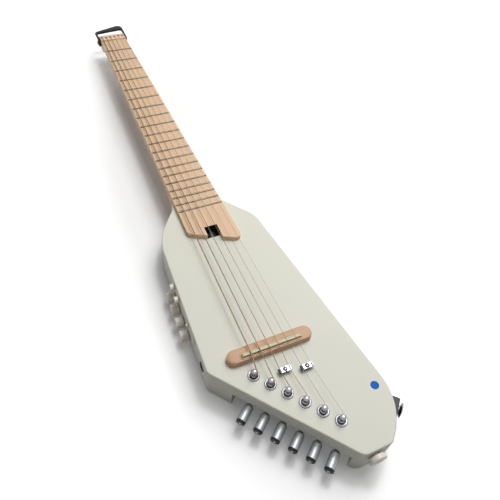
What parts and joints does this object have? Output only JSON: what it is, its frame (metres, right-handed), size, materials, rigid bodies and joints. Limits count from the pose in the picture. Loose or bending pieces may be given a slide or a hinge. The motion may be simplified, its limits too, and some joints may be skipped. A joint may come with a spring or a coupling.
{
  "type": "travel guitar",
  "caption": "Headless electric travel guitar with a slim angular white body, slanted tuner row in the tail, side controls, bolt-on neck and a black hanging loop.",
  "frame": {"origin": "on the flat back of the body, under the saddle, on the middle line of the strings", "axes": "+X to the treble side, +Y along the strings to the head end, +Z out of the top"},
  "size_m": [0.1759, 0.8388, 0.0517],
  "materials": {
    "white_painted_wood": "satin off-white paint",
    "pale_maple": "satin",
    "bridge_wood": "satin",
    "bone": "polished",
    "black_plastic": "fine matte",
    "black_nickel": "dark plated",
    "cream_plastic": "satin",
    "chrome": "polished",
    "satin_nickel": "satin",
    "steel": "drawn",
    "wound_bronze": "wound",
    "blue_enamel": "gloss",
    "circuit_board": "lacquered"
  },
  "bodies": {
    "guitar": {"body": "white_painted_wood", "neck": "pale_maple", "fretboard": "pale_maple", "bridge": "bridge_wood", "nut": "bone", "saddle": "bone", "strap_block": "black_plastic", "truss_access_cup": "black_plastic", "hanging_loop": "black_plastic", "output_jack": "black_plastic", "battery_with_clip": "black_plastic", "strap_button": "black_nickel", "headphone_socket": "cream_plastic", "jack_plate": "cream_plastic", "end_button": "cream_plastic", "back_cover": "cream_plastic", "neck_plate_with_bolts": "chrome", "string_tree_1": "chrome", "string_tree_2": "chrome", "tuner_housing_1": "satin_nickel", "tuner_housing_2": "satin_nickel", "tuner_housing_3": "satin_nickel", "tuner_housing_4": "satin_nickel", "tuner_housing_5": "satin_nickel", "tuner_housing_6": "satin_nickel", "string_b": "steel", "string_e_high": "steel", "string_ferrule_bar": "steel", "under_saddle_pickup": "steel", "truss_rod": "steel", "loop_screw_bass": "steel", "loop_screw_treble": "steel", "cover_screw_1": "steel", "cover_screw_2": "steel", "string_e_low": "wound_bronze", "string_a": "wound_bronze", "string_d": "wound_bronze", "string_g": "wound_bronze", "round_marker": "blue_enamel", "preamp_board": "circuit_board"},
    "tuner_1_button": {"tuner_button_1": "satin_nickel"},
    "tuner_1_post": {"tuner_post_1": "chrome"},
    "tuner_2_button": {"tuner_button_2": "satin_nickel"},
    "tuner_2_post": {"tuner_post_2": "chrome"},
    "tuner_3_button": {"tuner_button_3": "satin_nickel"},
    "tuner_3_post": {"tuner_post_3": "chrome"},
    "tuner_4_button": {"tuner_button_4": "satin_nickel"},
    "tuner_4_post": {"tuner_post_4": "chrome"},
    "tuner_5_button": {"tuner_button_5": "satin_nickel"},
    "tuner_5_post": {"tuner_post_5": "chrome"},
    "tuner_6_button": {"tuner_button_6": "satin_nickel"},
    "tuner_6_post": {"tuner_post_6": "chrome"},
    "reverb_knob": {"reverb_knob": "cream_plastic"},
    "treble_knob": {"treble_knob": "cream_plastic"},
    "bass_knob": {"bass_knob": "cream_plastic"},
    "volume_knob": {"volume_knob": "cream_plastic"},
    "mix_knob": {"mix_knob": "cream_plastic"},
    "gain_knob": {"gain_knob": "cream_plastic"},
    "power_button": {"power_button": "cream_plastic"},
    "truss_rod_nut": {"truss_rod_nut": "steel"}
  },
  "joints": [
    {"name": "tuner_1_button_turn", "type": "hinge", "parent": "guitar", "child": "tuner_1_button", "pos_m": [-0.02431, -0.02478, 0.017], "axis": [-0.779, -0.627, 0], "continuous": true},
    {"name": "tuner_1_post_turn", "type": "hinge", "parent": "guitar", "child": "tuner_1_post", "pos_m": [-0.02883, -0.01917, 0.017], "axis": [0, 0, 1], "continuous": true},
    {"name": "tuner_2_button_turn", "type": "hinge", "parent": "guitar", "child": "tuner_2_button", "pos_m": [-0.01303, -0.0388, 0.017], "axis": [-0.779, -0.627, 0], "continuous": true},
    {"name": "tuner_2_post_turn", "type": "hinge", "parent": "guitar", "child": "tuner_2_post", "pos_m": [-0.01754, -0.03319, 0.017], "axis": [0, 0, 1], "continuous": true},
    {"name": "tuner_3_button_turn", "type": "hinge", "parent": "guitar", "child": "tuner_3_button", "pos_m": [-0.00174, -0.05282, 0.017], "axis": [-0.779, -0.627, 0], "continuous": true},
    {"name": "tuner_3_post_turn", "type": "hinge", "parent": "guitar", "child": "tuner_3_post", "pos_m": [-0.00626, -0.04722, 0.017], "axis": [0, 0, 1], "continuous": true},
    {"name": "tuner_4_button_turn", "type": "hinge", "parent": "guitar", "child": "tuner_4_button", "pos_m": [0.00954, -0.06685, 0.017], "axis": [-0.779, -0.627, 0], "continuous": true},
    {"name": "tuner_4_post_turn", "type": "hinge", "parent": "guitar", "child": "tuner_4_post", "pos_m": [0.00503, -0.06124, 0.017], "axis": [0, 0, 1], "continuous": true},
    {"name": "tuner_5_button_turn", "type": "hinge", "parent": "guitar", "child": "tuner_5_button", "pos_m": [0.02083, -0.08087, 0.017], "axis": [-0.779, -0.627, 0], "continuous": true},
    {"name": "tuner_5_post_turn", "type": "hinge", "parent": "guitar", "child": "tuner_5_post", "pos_m": [0.01631, -0.07526, 0.017], "axis": [0, 0, 1], "continuous": true},
    {"name": "tuner_6_button_turn", "type": "hinge", "parent": "guitar", "child": "tuner_6_button", "pos_m": [0.03211, -0.09489, 0.017], "axis": [-0.779, -0.627, 0], "continuous": true},
    {"name": "tuner_6_post_turn", "type": "hinge", "parent": "guitar", "child": "tuner_6_post", "pos_m": [0.0276, -0.08928, 0.017], "axis": [0, 0, 1], "continuous": true},
    {"name": "reverb_knob_turn", "type": "hinge", "parent": "guitar", "child": "reverb_knob", "pos_m": [-0.0669, 0.0612, 0.0137], "axis": [-0.9992, 0.0393, 0], "range_deg": [-150, 150]},
    {"name": "treble_knob_turn", "type": "hinge", "parent": "guitar", "child": "treble_knob", "pos_m": [-0.06621, 0.07869, 0.0137], "axis": [-0.9992, 0.0393, 0], "range_deg": [-150, 150]},
    {"name": "bass_knob_turn", "type": "hinge", "parent": "guitar", "child": "bass_knob", "pos_m": [-0.06552, 0.09617, 0.0137], "axis": [-0.9992, 0.0393, 0], "range_deg": [-150, 150]},
    {"name": "volume_knob_turn", "type": "hinge", "parent": "guitar", "child": "volume_knob", "pos_m": [-0.06483, 0.11366, 0.0137], "axis": [-0.9992, 0.0393, 0], "range_deg": [-150, 150]},
    {"name": "mix_knob_turn", "type": "hinge", "parent": "guitar", "child": "mix_knob", "pos_m": [-0.06552, 0.09617, 0.0315], "axis": [-0.9992, 0.0393, 0], "range_deg": [-150, 150]},
    {"name": "gain_knob_turn", "type": "hinge", "parent": "guitar", "child": "gain_knob", "pos_m": [-0.06483, 0.11366, 0.0315], "axis": [-0.9992, 0.0393, 0], "range_deg": [-150, 150]},
    {"name": "power_button_press", "type": "slide", "parent": "guitar", "child": "power_button", "axis": [0.9992, -0.0393, 0], "range_m": [0, 0.0008], "stiffness_N_per_m": 600},
    {"name": "truss_rod_nut_turn", "type": "hinge", "parent": "guitar", "child": "truss_rod_nut", "pos_m": [0, 0.167, 0.0352], "axis": [0, 1, 0], "range_deg": [-180, 180]}
  ],
  "couplings": [
    {"joint": "tuner_1_post_turn", "follows": "tuner_1_button_turn", "ratio": 0.071429},
    {"joint": "tuner_2_post_turn", "follows": "tuner_2_button_turn", "ratio": 0.071429},
    {"joint": "tuner_3_post_turn", "follows": "tuner_3_button_turn", "ratio": 0.071429},
    {"joint": "tuner_4_post_turn", "follows": "tuner_4_button_turn", "ratio": 0.071429},
    {"joint": "tuner_5_post_turn", "follows": "tuner_5_button_turn", "ratio": 0.071429},
    {"joint": "tuner_6_post_turn", "follows": "tuner_6_button_turn", "ratio": 0.071429}
  ]
}
